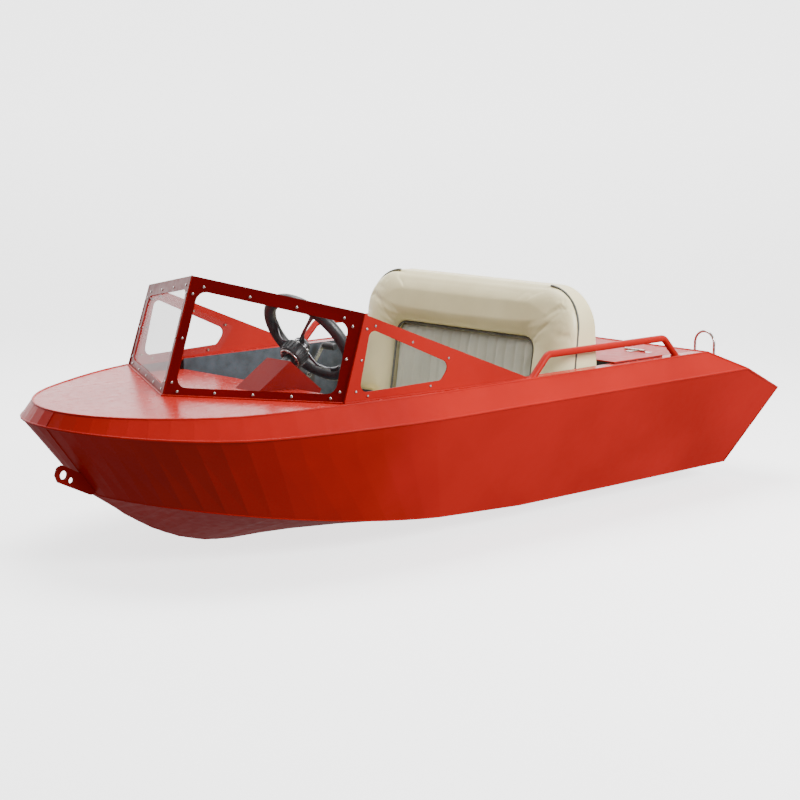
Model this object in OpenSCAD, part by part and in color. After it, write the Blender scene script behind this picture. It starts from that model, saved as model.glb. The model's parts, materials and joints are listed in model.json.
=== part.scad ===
// Small welded jet boat: V-bottom hull with a knuckled gunwale, framed windscreen,
// bench seat, centre helm and a water jet with a steering nozzle and reverse bucket.
// Built with x forward from the stern tip and z up from the keel, then centred.

/* [Hull] */
// Length from the stern tip to the bow point
hull_l = 2988; // [2700:1:3600]
// Height of the deck edge above the keel
hull_h = 535; // [500:1:620]
// Width across the deck edges
deck_w = 1226; // [1180:1:1400]
// Distance that the gunwale bevel stands out from the deck edge
bevel_out = 52; // [30:1:70]
// Height of the gunwale bevel
bevel_h = 75; // [50:1:100]
// Width across the chines
chine_w = 985; // [950:1:1100]
// Height of the chine above the keel at the stern
chine_h = 65; // [40:1:90]
// Thickness of the hull and deck plates
plate_t = 4; // [3:0.5:6]
// Height of the stern tip above the keel
tip_h = 355; // [300:1:420]
// Slope of the transom from the vertical, in degrees
transom_rake = 28.9; // [15:0.1:35]
// Length of the sloping plate between the deck and the stern tip
slope_l = 450; // [350:1:480]

/* [Bow] */
// Length of the curved bow
bow_l = 1238; // [1050:1:1450]
// Setback of the deck edge behind the bow point
deck_setback = 33; // [20:1:80]
// Drop of the deck edge at the bow
bow_drop = 15; // [0:1:40]
// Height of the gunwale bevel at the bow point
bow_bevel_h = 46; // [30:1:70]
// Setback of the foot of the stem behind the bow point
stem_setback = 188; // [140:1:260]
// Height of the foot of the stem
stem_foot_h = 235; // [200:1:300]
// Roundness of the gunwale and deck edge seen from above
deck_fullness = 2.45; // [2:0.05:3]
// Roundness of the chine seen from above
chine_fullness = 1.8; // [1.6:0.05:2.4]

/* [Cockpit] */
// Width of the cockpit between its linings
cockpit_w = 1114; // [1100:1:1150]
// Height of the cockpit sole above the keel
sole_h = 135; // [120:1:170]
// Thickness of the sheet linings and the sole
lining_t = 3; // [2:0.5:5]
// Distance from the bow point to the aft edge of the dash
dash_aft = 978; // [900:1:1050]

/* [Windscreen] */
// Distance from the bow point to the centre of the windscreen base
screen_setback = 454; // [420:1:500]
// Rake of the centre post: how far its top lies aft of its base
screen_rake = 126; // [80:1:180]
// Height of the centre post
screen_h = 383; // [300:1:450]
// Height of the corner posts
corner_h = 278; // [220:1:320]
// Length of each side panel along the deck
side_panel_l = 825; // [700:1:900]
// Thickness of the windscreen frame plates
frame_t = 3; // [2:0.5:5]
// Thickness of the acrylic panes
pane_t = 4; // [3:0.5:6]
// Width of the frame round each pane
frame_w = 42; // [30:1:60]
// Overlap of the pane behind the frame
pane_lap = 22; // [15:1:28]
// Diameter of the screw shanks
screw_d = 5; // [4:0.5:6]

/* [Helm] */
// Diameter of the steering wheel at the middle of its rim
wheel_d = 340; // [280:1:380]
// Thickness of the steering wheel rim
rim_d = 42; // [28:1:44]
// Tilt of the steering column from the horizontal, in degrees
column_tilt = 36; // [20:1:40]
// Diameter of the steering shaft
shaft_d = 20; // [16:1:25]
// Width of the helm console
console_w = 120; // [100:1:160]

/* [Seat] */
// Width of the seat
seat_w = 1050; // [900:1:1080]
// Length of the seat cushion
cushion_l = 440; // [380:1:500]
// Thickness of the seat cushion
cushion_t = 105; // [80:1:130]
// Height of the backrest
backrest_h = 475; // [400:1:560]
// Height of the seat base above the sole
seat_base_h = 87; // [60:1:120]

/* [Rails and loops] */
// Diameter of the grab rail tube
rail_d = 25; // [20:1:32]
// Length of the grab rail between its feet
rail_l = 790; // [650:1:850]
// Height of the grab rail above the deck
rail_h = 85; // [60:1:120]
// Diameter of the rod of the stern loops
loop_rod_d = 10; // [8:1:14]
// Diameter of the large hole in the bow eye
eye_d = 29; // [20:1:32]
// Thickness of the bow eye plate
eye_t = 10; // [8:1:14]

/* [Engine and jet] */
// Length of the hatch opening
hatch_l = 260; // [220:1:300]
// Height of the jet axis above the keel
jet_h = 120; // [110:1:150]
// Inside diameter of the pump housing
pump_d = 124; // [110:1:130]
// Wall of the pump housing
pump_wall = 8; // [6:1:10]
// Diameter of the drive shaft
drive_d = 24; // [20:1:30]
// Number of impeller blades
blade_n = 4; // [3:1:6]

/* [Hidden] */
$fn = 48;

gap = 0.3;          // gap between pieces that seat on each other
pin_gap = 0.05;     // radial clearance of a running fit
cut = 1;            // overshoot of a cutting solid

red = "firebrick";
charcoal = [0.2, 0.23, 0.27];
cream = [0.88, 0.86, 0.78];
steel = "silver";

// ---- hull lines ----
deck_half = deck_w / 2;
rub_half = deck_half + bevel_out;
chine_half = chine_w / 2;
cockpit_half = cockpit_w / 2;
rub_h = hull_h - bevel_h;
bow_x0 = hull_l - bow_l;
deck_tip = hull_l - deck_setback;
stem_foot = hull_l - stem_setback;
chine_rise_l = 1600;
chine_rise_x = stem_foot - chine_rise_l;
keel_rise_l = 1300;
keel_rise_h = 25;
forefoot_l = 550;
knuckle = (tip_h - chine_h) / (rub_h - chine_h);
rake_run = tan(transom_rake);
slope_run = slope_l / (hull_h - tip_h);
slope_angle = atan2(hull_h - tip_h, slope_l);
tip_lap = plate_t;
stern_x = -tip_lap * cos(slope_angle) - plate_t * sin(slope_angle);
shift_x = -(hull_l + stern_x) / 2;
hatch_x0 = 680;     // aft edge of the hatch opening
hatch_edge = 12;    // how far the hatch laps past its opening
bulkhead_x = hatch_x0 + hatch_l;
bulkhead_flange = 15;
corner_angle = 20;  // bow station where the windscreen turns to the side
bow_step = 5;

function transom_x(z) = (tip_h - z) * rake_run;
function slope_x(z) = slope_l - (hull_h - z) * slope_run;
function ramp(t) = let (c = min(1, max(0, t))) c * c * (3 - 2 * c);
function chine_z(x) =
    chine_h + (stem_foot_h - chine_h) * pow(max(0, (x - chine_rise_x) / chine_rise_l), 2);
function keel_z(x) = keel_rise_h * pow(max(0, (x - stem_foot + keel_rise_l) / keel_rise_l), 2)
    + (stem_foot_h - keel_rise_h) * pow(max(0, (x - stem_foot + forefoot_l) / forefoot_l), 2);
function keel_slope(x) =
    2 * keel_rise_h * max(0, x - stem_foot + keel_rise_l) / pow(keel_rise_l, 2)
    + 2 * (stem_foot_h - keel_rise_h) * max(0, x - stem_foot + forefoot_l) / pow(forefoot_l, 2);
function deck_z(a) = hull_h - bow_drop * ramp((a - 15) / 30);
function bevel_z(a) = deck_z(a) - bevel_h + (bevel_h - bow_bevel_h) * pow(sin(a), 3);

// A station is [f, a]: f runs from 0 at the stern to 1 where the bow begins, and a
// runs from 0 to 90 degrees round the bow.
function line_x(s, aft, tip, p) =
    s[0] < 1 ? aft + (bow_x0 - aft) * s[0] : bow_x0 + (tip - bow_x0) * pow(sin(s[1]), 2 / p);
function keel_pt(s) =
    let (x = line_x(s, transom_x(0), stem_foot, chine_fullness)) [x, 0, keel_z(x)];
function chine_pt(s) = let (x = line_x(s, transom_x(chine_h), stem_foot, chine_fullness))
    [x, chine_half * cos(s[1]), chine_z(x)];
function rub_pt(s) =
    [line_x(s, slope_x(rub_h), hull_l, deck_fullness), rub_half * cos(s[1]), bevel_z(s[1])];
function deck_pt(s) =
    [line_x(s, slope_l, deck_tip, deck_fullness), deck_half * cos(s[1]), deck_z(s[1])];
function knuckle_pt(s) = let (p = chine_pt(s) + (rub_pt(s) - chine_pt(s)) * knuckle)
    [s[0] < 1 ? bow_x0 * s[0] : p[0], p[1], p[2]];
function unit(v) = v / norm(v);
function tangent(s) = s[1] == 0 ? [1, 0, 0]
    : unit([(hull_l - bow_x0) * 2 / deck_fullness * pow(sin(s[1]), 2 / deck_fullness - 1)
        * cos(s[1]), -rub_half * sin(s[1]), 0]);
function bottom_n(s) = let (k = keel_pt(s), c = chine_pt(s), m = keel_slope(k[0]))
    c[1] < 1 ? unit([-m, 0, 1]) : unit([-m * c[1], k[2] - c[2], c[1]]);
function side_n(s) = unit(cross(tangent(s), rub_pt(s) - chine_pt(s)));
function bevel_n(s) = unit(cross(tangent(s), deck_pt(s) - rub_pt(s)));
function mitre(n, m) = plate_t * (n + m) / (1 + n * m);
function on_transom(s, p) = s[0] == 0 ? [transom_x(p[2]), p[1], p[2]] : p;
function on_slope(s, p) = s[0] == 0 ? [slope_x(p[2]), p[1], p[2]] : p;
function flip_y(v) = [v[0], -v[1], v[2]];
function chine_in(s) = on_transom(s, chine_pt(s) + mitre(bottom_n(s), side_n(s)));
function keel_in(s) = s[1] == 90 ? chine_in(s)
    : on_transom(s, keel_pt(s) + mitre(bottom_n(s), flip_y(bottom_n(s))));
function knuckle_in(s) = let (n = side_n(s), f = [n[0], n[1], 0])
    knuckle_pt(s) + plate_t * f / (f * f);
function rub_in(s) = on_slope(s, rub_pt(s) + mitre(side_n(s), bevel_n(s)));
function deck_in(s) = on_slope(s, deck_pt(s) + mitre(bevel_n(s), [0, 0, -1]));

aft_stations = [for (f = [0, 0.2, 0.4, 0.6, 0.8]) [f, 0]];
bow_stations = [for (a = [0:bow_step:90]) [1, a]];
stations = concat(aft_stations, bow_stations);
side_stations = concat(aft_stations, [for (a = [0:bow_step:corner_angle]) [1, a]]);
fore_stations = [for (a = [corner_angle:bow_step:90]) [1, a]];

// ---- plates lofted through the stations ----
// Rows run upwards or inboard and stations forward; tris() splits every quad the same
// way, so that two plates which share an edge share its mitre face.
function quad_at(q, a, b, c, d) = [[q[a], q[b], q[c]], [q[a], q[c], q[d]]];
function at(o, r, i, k) = o(r, i, k);
function skin_tris(nr, ns, at, cap) = let (r1 = nr - 1, i1 = ns - 1) concat(
    [for (r = [0:r1 - 1], i = [0:i1 - 1])
        each [[at(r, i, 0), at(r, i + 1, 0), at(r + 1, i + 1, 0)],
            [at(r, i, 0), at(r + 1, i + 1, 0), at(r + 1, i, 0)],
            [at(r, i, 1), at(r + 1, i + 1, 1), at(r, i + 1, 1)],
            [at(r, i, 1), at(r + 1, i, 1), at(r + 1, i + 1, 1)]]],
    [for (i = [0:i1 - 1])
        each [[at(0, i + 1, 0), at(0, i, 0), at(0, i, 1)],
            [at(0, i + 1, 0), at(0, i, 1), at(0, i + 1, 1)],
            [at(r1, i, 0), at(r1, i + 1, 0), at(r1, i, 1)],
            [at(r1, i + 1, 0), at(r1, i + 1, 1), at(r1, i, 1)]]],
    [for (r = [0:r1 - 1])
        each [[at(r, 0, 0), at(r + 1, 0, 0), at(r + 1, 0, 1)],
            [at(r, 0, 0), at(r + 1, 0, 1), at(r, 0, 1)]]],
    cap ? [for (r = [0:r1 - 1])
        each [[at(r + 1, i1, 0), at(r, i1, 0), at(r, i1, 1)],
            [at(r + 1, i1, 0), at(r, i1, 1), at(r + 1, i1, 1)]]] : []);
function whole(tris) = [for (t = tris) if (t[0] != t[1] && t[1] != t[2] && t[2] != t[0]) t];

module plate(outer, inner, pinched = false) {
    nr = len(outer);
    ns = len(outer[0]);
    at = function(r, i, k) (k * nr + (pinched && i == ns - 1 ? nr - 1 : r)) * ns + i;
    polyhedron([for (rows = [outer, inner], row = rows) each row],
        whole(skin_tris(nr, ns, at, !pinched)));
}

// A plate that runs across the centreline: its last station is shared by both halves.
module mirrored_plate(outer, inner) {
    nr = len(outer);
    ns = len(outer[0]);
    n = 2 * nr * ns;
    port = function(r, i, k) (k * nr + r) * ns + i;
    starboard = function(r, i, k) port(r, i, k) + (i == ns - 1 ? 0 : n);
    half = [for (rows = [outer, inner], row = rows) each row];
    polyhedron(concat(half, [for (p = half) flip_y(p)]),
        concat(skin_tris(nr, ns, port, false),
            [for (t = skin_tris(nr, ns, starboard, false)) [t[0], t[2], t[1]]]));
}

module centred() {
    translate([shift_x, 0, 0]) children();
}

module starboard() {
    mirror([0, 1, 0]) children();
}

// Plates and outlines in the vertical plane that runs fore and aft, and across.
module fore_aft(y0, w) {
    translate([0, y0 + w, 0]) rotate([90, 0, 0]) linear_extrude(w) children();
}

module athwart(x0, w) {
    translate([x0, 0, 0]) rotate([90, 0, 90]) linear_extrude(w) children();
}

module rod_y(d, y0, y1) {
    translate([0, y0, 0]) rotate([-90, 0, 0]) cylinder(d = d, h = y1 - y0);
}

module rod_x(d, x0, x1) {
    translate([x0, 0, 0]) rotate([0, 90, 0]) cylinder(d = d, h = x1 - x0);
}

// Outline with each corner rounded to radius r; n is the number of steps in a corner.
function corner_arc(a, b, c, r, n) = let (u = unit(a - b), v = unit(c - b),
        half = acos(u * v) / 2, ctr = b + unit(u + v) * r / sin(half),
        p = b + u * r / tan(half), q = b + v * r / tan(half),
        a0 = atan2(p[1] - ctr[1], p[0] - ctr[0]), a1 = atan2(q[1] - ctr[1], q[0] - ctr[0]),
        turn = (a1 - a0 + 540) % 360 - 180)
    [for (i = [0:n]) ctr + r * [cos(a0 + turn * i / n), sin(a0 + turn * i / n)]];
function rounded(pts, r, n = 6) = let (m = len(pts)) [for (i = [0:m - 1])
    each corner_arc(pts[(i + m - 1) % m], pts[i], pts[(i + 1) % m], r, n)];
// Outline moved inwards by d; its points run anticlockwise.
function inset(pts, d) = let (m = len(pts)) [for (i = [0:m - 1])
    let (u = unit(pts[i] - pts[(i + m - 1) % m]), v = unit(pts[(i + 1) % m] - pts[i]),
        n = [-u[1], u[0]], k = [-v[1], v[0]]) pts[i] + d * (n + k) / (1 + n * k)];
function flat(p) = [p[0], p[1]];
function cross_of(p) = [p[1], p[2]];
function mirror_pts(pts) = [for (i = [len(pts) - 1:-1:0]) [-pts[i][0], pts[i][1]]];

module bottom_plate() {
    color(red) centred() difference() {
        plate([[for (s = stations) keel_pt(s)], [for (s = stations) chine_pt(s)]],
            [[for (s = stations) keel_in(s)], [for (s = stations) chine_in(s)]], true);
        translate([intake_x0, -intake_w / 2, -cut])
            cube([intake_x1 - intake_x0, intake_w, chine_h]);
    }
}
module bottom_plate_port() {
    bottom_plate();
}
module bottom_plate_starboard() {
    starboard() bottom_plate();
}

module side_plate() {
    color(red) centred() plate(
        [[for (s = stations) chine_pt(s)], [for (s = stations) knuckle_pt(s)],
            [for (s = stations) rub_pt(s)]],
        [[for (s = stations) chine_in(s)], [for (s = stations) knuckle_in(s)],
            [for (s = stations) rub_in(s)]]);
}
module side_plate_port() {
    side_plate();
}
module side_plate_starboard() {
    starboard() side_plate();
}

module gunwale_bevel() {
    color(red) centred() plate(
        [[for (s = stations) rub_pt(s)], [for (s = stations) deck_pt(s)]],
        [[for (s = stations) rub_in(s)], [for (s = stations) deck_in(s)]]);
}
module gunwale_bevel_port() {
    gunwale_bevel();
}
module gunwale_bevel_starboard() {
    starboard() gunwale_bevel();
}

// ---- deck ----
screen_x = hull_l - screen_setback;
corner_x = deck_pt([1, corner_angle])[0];
screen_z = deck_z(90) + 4;
// Line on the deck from the corner posts to the centre of the windscreen
function coaming_pt(s) = let (t = cos(s[1]) / cos(corner_angle))
    [screen_x + (corner_x - screen_x) * t, cockpit_half * t,
        screen_z + (hull_h - screen_z) * t];
function inner_edge_pt(s) =
    [line_x(s, slope_l, deck_tip, deck_fullness), cockpit_half, deck_z(s[1])];
function down(p) = [p[0], p[1], p[2] - plate_t];

module foredeck() {
    color(red) centred() mirrored_plate(
        [[for (s = fore_stations) deck_pt(s)], [for (s = fore_stations) coaming_pt(s)]],
        [[for (s = fore_stations) deck_in(s)],
            [for (s = fore_stations) down(coaming_pt(s))]]);
}

module side_deck() {
    color(red) centred() plate(
        [[for (s = side_stations) deck_pt(s)], [for (s = side_stations) inner_edge_pt(s)]],
        [[for (s = side_stations) deck_in(s)],
            [for (s = side_stations) on_slope(s, down(inner_edge_pt(s)))]]);
}
module side_deck_port() {
    side_deck();
}
module side_deck_starboard() {
    starboard() side_deck();
}

module aft_deck() {
    color(red) centred() fore_aft(-cockpit_half + gap, cockpit_w - 2 * gap)
        polygon([[slope_l, hull_h], [slope_x(hull_h - plate_t), hull_h - plate_t],
            [hatch_x0, hull_h - plate_t], [hatch_x0, hull_h]]);
}

module stern_slope_plate() {
    tip_half = knuckle_pt([0, 0])[1];
    run = norm([slope_l, hull_h - tip_h]);
    rub_run = run * (hull_h - rub_h) / (hull_h - tip_h);
    color(red) centred() translate([slope_l, 0, hull_h]) rotate([0, 180 - slope_angle, 0])
        mirror([0, 0, 1]) linear_extrude(plate_t)
            polygon([[0, -deck_half], [rub_run, -rub_half], [run, -tip_half],
                [run + tip_lap, -tip_half], [run + tip_lap, tip_half], [run, tip_half],
                [rub_run, rub_half], [0, deck_half]]);
}

module transom() {
    tip_half = knuckle_pt([0, 0])[1];
    chine_run = chine_h / cos(transom_rake);
    tip_run = tip_h / cos(transom_rake);
    color(red) centred() difference() {
        translate([transom_x(0), 0, 0]) rotate([0, -transom_rake, 0]) rotate([90, 0, -90])
            linear_extrude(plate_t)
                polygon([[0, 0], [chine_half, chine_run], [tip_half, tip_run],
                    [-tip_half, tip_run], [-chine_half, chine_run]]);
        translate([0, 0, jet_h]) rod_x(pump_od + 2 * gap, -cut, pump_x1);
        // bottom edge trimmed flush with the keel
        translate([0, -deck_half, -20]) cube([hull_l, deck_w, 20]);
    }
}

// ---- inside structure ----
deadrise = atan2(chine_h, chine_half);
function v_top(y) = plate_t / cos(deadrise) + abs(y) * tan(deadrise);
// Inside of the hull plates at x, as a half section from the keel to the deck
function chine_clear(x) = let (d = atan2(chine_z(x) - keel_z(x), chine_half),
        f = atan2(rub_half - chine_half, rub_h - chine_z(x)), t = plate_t + gap,
        n = [-sin(d), cos(d)], m = [-cos(f), sin(f)])
    [chine_half, chine_z(x)] + t * (n + m) / (1 + n * m);
function keel_clear(x) = let (d = atan2(chine_z(x) - keel_z(x), chine_half))
    [0, keel_z(x) + (plate_t + gap) / cos(d)];
function rub_clear() = [rub_half - plate_t - 2, rub_h];
function deck_clear() = [deck_half - plate_t - 2, hull_h - plate_t - gap];

keel_bar_h = 40;
keel_bar_t = 8;

module keel_bar() {
    x0 = transom_x(0) + 420;
    run = bow_x0 + 300 - x0;
    foot = keel_bar_t / 2 * tan(deadrise) + gap;
    color(red) centred() fore_aft(-keel_bar_t / 2, keel_bar_t) polygon(concat(
        [for (i = [0:10]) let (x = x0 + run * i / 10) [x, keel_clear(x)[1] + foot]],
        [for (i = [10:-1:0]) let (x = x0 + run * i / 10)
            [x, keel_clear(x)[1] + keel_bar_h]]));
}

frame_x = [for (f = [0.6, 0.8, 1])
    transom_x(chine_h) + (bow_x0 - transom_x(chine_h)) * f - plate_t];

module floor_frames() {
    color(red) centred() for (x = frame_x) let (f = x + 2 * plate_t) difference() {
        athwart(x, plate_t) intersection() {
            polygon([keel_clear(f), chine_clear(f), [chine_half, hull_h],
                [-chine_half, hull_h], [-chine_clear(f)[0], chine_clear(f)[1]]]);
            translate([-sole_half, 0]) square([2 * sole_half, sole_h - gap]);
        }
        translate([x - cut, -keel_bar_t / 2 - gap, -cut])
            cube([plate_t + 2 * cut, keel_bar_t + 2 * gap,
                keel_clear(x)[1] + keel_bar_h + gap + cut]);
    }
}

sole_half = cockpit_half - 87;
sole_nose_half = 290;
sole_x0 = bulkhead_x + plate_t + gap;
sole_x1 = bow_x0 + 200;
sole_x2 = bow_x0 + 560;

module cockpit_sole() {
    color(charcoal) centred() translate([0, 0, sole_h]) linear_extrude(lining_t)
        polygon([[sole_x0, -sole_half], [sole_x1, -sole_half], [sole_x2, -sole_nose_half],
            [sole_x2, sole_nose_half], [sole_x1, sole_half], [sole_x0, sole_half]]);
}

lining_knee_h = 300;
lining_half = cockpit_half - gap;
lining_x1 = hull_l - dash_aft - gap;
lining_foot_z = sole_h + lining_t + gap;

module lining() {
    color(charcoal) centred() athwart(sole_x0, lining_x1 - sole_x0)
        polygon([[lining_half, hull_h - gap], [lining_half - lining_t, hull_h - gap],
            [lining_half - lining_t, lining_knee_h], [sole_half - lining_t, lining_foot_z],
            [sole_half, lining_foot_z], [lining_half, lining_knee_h]]);
}
module lining_port() {
    lining();
}
module lining_starboard() {
    starboard() lining();
}

dash_x = hull_l - dash_aft;
dash_drop = 38;      // fall of the dash below the deck edge at its aft edge
dash_fore_z = screen_z - plate_t - gap;
dash_fore_x = screen_x + 20;
dash_angle = atan2(dash_fore_z - hull_h + dash_drop, dash_fore_x - dash_x);
function dash_top(x) = hull_h - dash_drop + (x - dash_x) * tan(dash_angle);

module dash_panel() {
    corner_run = corner_x - dash_x;
    run = (dash_fore_x - dash_x) / cos(dash_angle);
    half = cockpit_half - gap;
    color(red) centred() translate([dash_x, 0, dash_top(dash_x)])
        rotate([0, -dash_angle, 0]) mirror([0, 0, 1]) linear_extrude(plate_t)
            polygon([[0, -half], [corner_run - 20, -half], [run, 0],
                [corner_run - 20, half], [0, half]]);
}

module forward_bulkhead() {
    x = sole_x2 + gap;
    top = dash_top(x) - (plate_t + gap) / cos(dash_angle) - 1;
    foot = chine_pt([1, 38]);
    color(charcoal) centred() athwart(x, lining_t)
        polygon([[-sole_nose_half, sole_h], [sole_nose_half, sole_h],
            [foot[1], foot[2] + 60], [foot[1] + 15, top - 60], [foot[1] + 15, top],
            [-foot[1] - 15, top], [-foot[1] - 15, top - 60], [-foot[1], foot[2] + 60]]);
}

module engine_bulkhead() {
    x = bulkhead_x;
    color(charcoal) centred() {
        difference() {
            athwart(x, plate_t) polygon([keel_clear(x), chine_clear(x), rub_clear(),
                deck_clear(), [-deck_clear()[0], deck_clear()[1]],
                [-rub_clear()[0], rub_clear()[1]],
                [-chine_clear(x)[0], chine_clear(x)[1]]]);
            translate([x - cut, -keel_bar_t / 2 - gap, -cut])
                cube([plate_t + 2 * cut, keel_bar_t + 2 * gap,
                    keel_clear(x)[1] + keel_bar_h + gap + cut]);
        }
        translate([x - bulkhead_flange, -cockpit_half + gap, hull_h - plate_t])
            cube([bulkhead_flange + plate_t, cockpit_w - 2 * gap, plate_t]);
        translate([x, -cockpit_half + gap, hull_h - 2 * plate_t])
            cube([plate_t, cockpit_w - 2 * gap, plate_t + 1]);
        // pads that carry the backrest
        for (y = [-300, 300]) translate([x + plate_t - 1, y - 25, backrest_z - 60])
            cube([seat_x0 - gap - x - plate_t + 1, 50,
                hull_h - 2 * plate_t + 1 - backrest_z + 60]);
    }
}

// ---- windscreen ----
base_lift = 2 * gap;
screen_foot = [screen_x, 0, screen_z + base_lift];
screen_top = [screen_x - screen_rake, 0, screen_z + screen_h];
corner_foot = [corner_x - 1, cockpit_half, hull_h + base_lift];
front_normal = unit(cross(corner_foot - screen_foot, screen_top - screen_foot));
corner_top_y = cockpit_half - 4;
corner_top_z = hull_h + corner_h;
corner_top = [screen_foot[0] - (front_normal[1] * corner_top_y
        + front_normal[2] * (corner_top_z - screen_foot[2])) / front_normal[0],
    corner_top_y, corner_top_z];
panel_end_flat = [corner_foot[0] - side_panel_l, deck_half - 12, hull_h + base_lift];
side_normal = unit(cross(panel_end_flat - corner_foot, corner_top - corner_foot));

// Local frame of a panel: its origin, u along the foot, v up the panel, w outwards.
function frame_of(o, along, w) = let (u = unit(along), v = cross(w, u)) [o, u, v, w];
function to_panel(f, p) = [(p - f[0]) * f[1], (p - f[0]) * f[2]];
module on_panel(f) {
    multmatrix([[f[1][0], f[2][0], f[3][0], f[0][0]], [f[1][1], f[2][1], f[3][1], f[0][1]],
        [f[1][2], f[2][2], f[3][2], f[0][2]], [0, 0, 0, 1]]) children();
}
front_out = front_normal[0] > 0 ? front_normal : -front_normal;
side_out = side_normal[1] > 0 ? side_normal : -side_normal;
front_frame = frame_of(screen_foot, corner_foot - screen_foot, front_out);
side_frame = frame_of(corner_foot, panel_end_flat - corner_foot, side_out);
front_up = front_frame[2][2] > 0;
front_outline = [for (p = [screen_foot, corner_foot, corner_top, screen_top])
    to_panel(front_frame, p)];
side_outline = [for (p = [corner_foot, panel_end_flat, corner_top])
    to_panel(side_frame, p)];
corner_split = unit(front_out - side_out);

function front_opening() = let (q = inset(front_outline, frame_w))
    [q[0] + [-10, -14], q[1] + [4, -14], q[2], q[3] + [-10, 0]];
function side_opening() = let (q = inset(side_outline, frame_w))
    [q[0] + [5, -15], q[0] + (q[1] - q[0]) * 0.66 + [0, -8],
        q[2] + (q[1] - q[2]) * 0.71 + [0, -9], q[2] + [-2, 5]];

// Half-space behind the plane through p with normal n
module behind(p, n) {
    b = acos(n[2]);
    c = atan2(n[1], n[0]);
    translate(p) rotate([0, b, c]) translate([-2000, -2000, -4000]) cube(4000);
}

// Screw places: evenly spaced on the line between two opening corners
function spaced(a, b, n) = [for (i = [0:n - 1]) a + (b - a) * (i + 0.2) / (n - 0.6)];
function front_screws() = let (q = inset(front_opening(), -screw_inset))
    concat(spaced(q[0], q[1], 5), spaced(q[1], q[2], 3), spaced(q[2], q[3], 4),
        spaced(q[3], q[0], 3));
function side_screws() = let (q = inset(side_opening(), -screw_inset))
    concat(spaced(q[0], q[1], 2), spaced(q[2], q[3], 3), spaced(q[3], q[0], 3));

screw_inset = 14;    // distance of the screws from the edge of the opening
front_r = 34;
side_r = 24;
module frame_plate(outline, opening, r, screws) {
    translate([0, 0, -frame_t]) linear_extrude(frame_t) difference() {
        polygon(outline);
        polygon(rounded(opening, r));
        for (p = screws) translate(p) circle(d = screw_d + gap);
    }
}
module pane_plate(opening, screws) {
    color([0.8, 0.88, 0.9, 0.3]) translate([0, 0, -frame_t - gap - pane_t])
        linear_extrude(pane_t) difference() {
            polygon(rounded(inset(opening, -pane_lap), 8, 3));
            for (p = screws) translate(p) circle(d = screw_d + gap);
        }
}

module screen_frame() {
    color(red) centred() intersection() {
        on_panel(front_frame) frame_plate(
            [front_outline[0] + [-6, 0], front_outline[1] + [6, 0],
                front_outline[2] + [6, 0], front_outline[3] + [-6, 0]],
            front_opening(), front_r, front_screws());
        behind(screen_foot + [0, gap / 2, 0], [0, -1, 0]);
        behind(corner_foot + [0, -gap / 2, 0], -corner_split);
    }
}
module screen_frame_port() {
    screen_frame();
}
module screen_frame_starboard() {
    starboard() screen_frame();
}

module side_frame() {
    color(red) centred() intersection() {
        on_panel(side_frame) frame_plate(
            [side_outline[0] + [-6, 0], side_outline[1], side_outline[2] + [-6, 0]],
            side_opening(), side_r, side_screws());
        behind(corner_foot - [gap / 2, 0, 0], corner_split);
    }
}
module side_frame_port() {
    side_frame();
}
module side_frame_starboard() {
    starboard() side_frame();
}

module screen_pane() {
    centred() on_panel(front_frame) pane_plate(front_opening(), front_screws());
}
module screen_pane_port() {
    screen_pane();
}
module screen_pane_starboard() {
    starboard() screen_pane();
}
module side_pane() {
    centred() on_panel(side_frame) pane_plate(side_opening(), side_screws());
}
module side_pane_port() {
    side_pane();
}
module side_pane_starboard() {
    starboard() side_pane();
}

module screen_screw() {
    head = screw_d * 0.9;
    reach = frame_t + gap + pane_t + gap;
    rotate_extrude($fn = 16) polygon([[0, -reach - 3], [screw_d * 0.8, -reach - 3],
        [screw_d * 0.8, -reach], [screw_d / 2, -reach], [screw_d / 2, gap], [head, gap],
        [head, gap + 1], [head * 0.7, gap + 2.2], [0, gap + 2.6]]);
}

module screw_set() {
    color(steel) centred() {
        on_panel(front_frame) for (p = front_screws()) translate(p) screen_screw();
        on_panel(side_frame) for (p = side_screws()) translate(p) screen_screw();
    }
}
module screws_port() {
    screw_set();
}
module screws_starboard() {
    starboard() screw_set();
}

// ---- helm ----
wheel_x = hull_l - 1089;     // centre of the wheel's rim
wheel_z = hull_h + 123;
hub_drop = 42;               // distance from the rim's plane to the hub plate
hub_d = 74;
spoke_t = 4;
console_apex = [hull_l - 950, hull_h + 60];
console_foot_x = hull_l - 808;
console_tail = [hull_l - 1092, hull_h - 50];
face_dir = unit(console_apex - console_tail);
face_normal = [-face_dir[1], face_dir[0]];
// Distance along the column from the hub to the console's aft face
column_dir = [cos(column_tilt), -sin(column_tilt)];
wheel_centre = [wheel_x, wheel_z];
hub_centre = wheel_centre + column_dir * hub_drop;
face_run = (console_apex - hub_centre) * face_normal / (column_dir * face_normal);

// Column frame: origin at the centre of the rim, z towards the driver
module on_column() {
    translate([wheel_x, 0, wheel_z]) rotate([0, -90 + column_tilt, 0]) children();
}

function console_profile() = [[console_foot_x, dash_top(console_foot_x) + gap],
    console_apex, console_tail, console_tail + [25, -45],
    [dash_x - gap, console_tail[1] - 45], [dash_x - gap, dash_top(dash_x) + gap]];

module helm_console() {
    color(red) centred() difference() {
        fore_aft(-console_w / 2, console_w) polygon(console_profile());
        fore_aft(-console_w / 2 + lining_t, console_w - 2 * lining_t)
            polygon(inset(console_profile(), lining_t));
        on_column() translate([0, 0, -hub_drop - face_run - 30])
            cylinder(d = bearing_d + gap, h = 60);
    }
}

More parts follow.
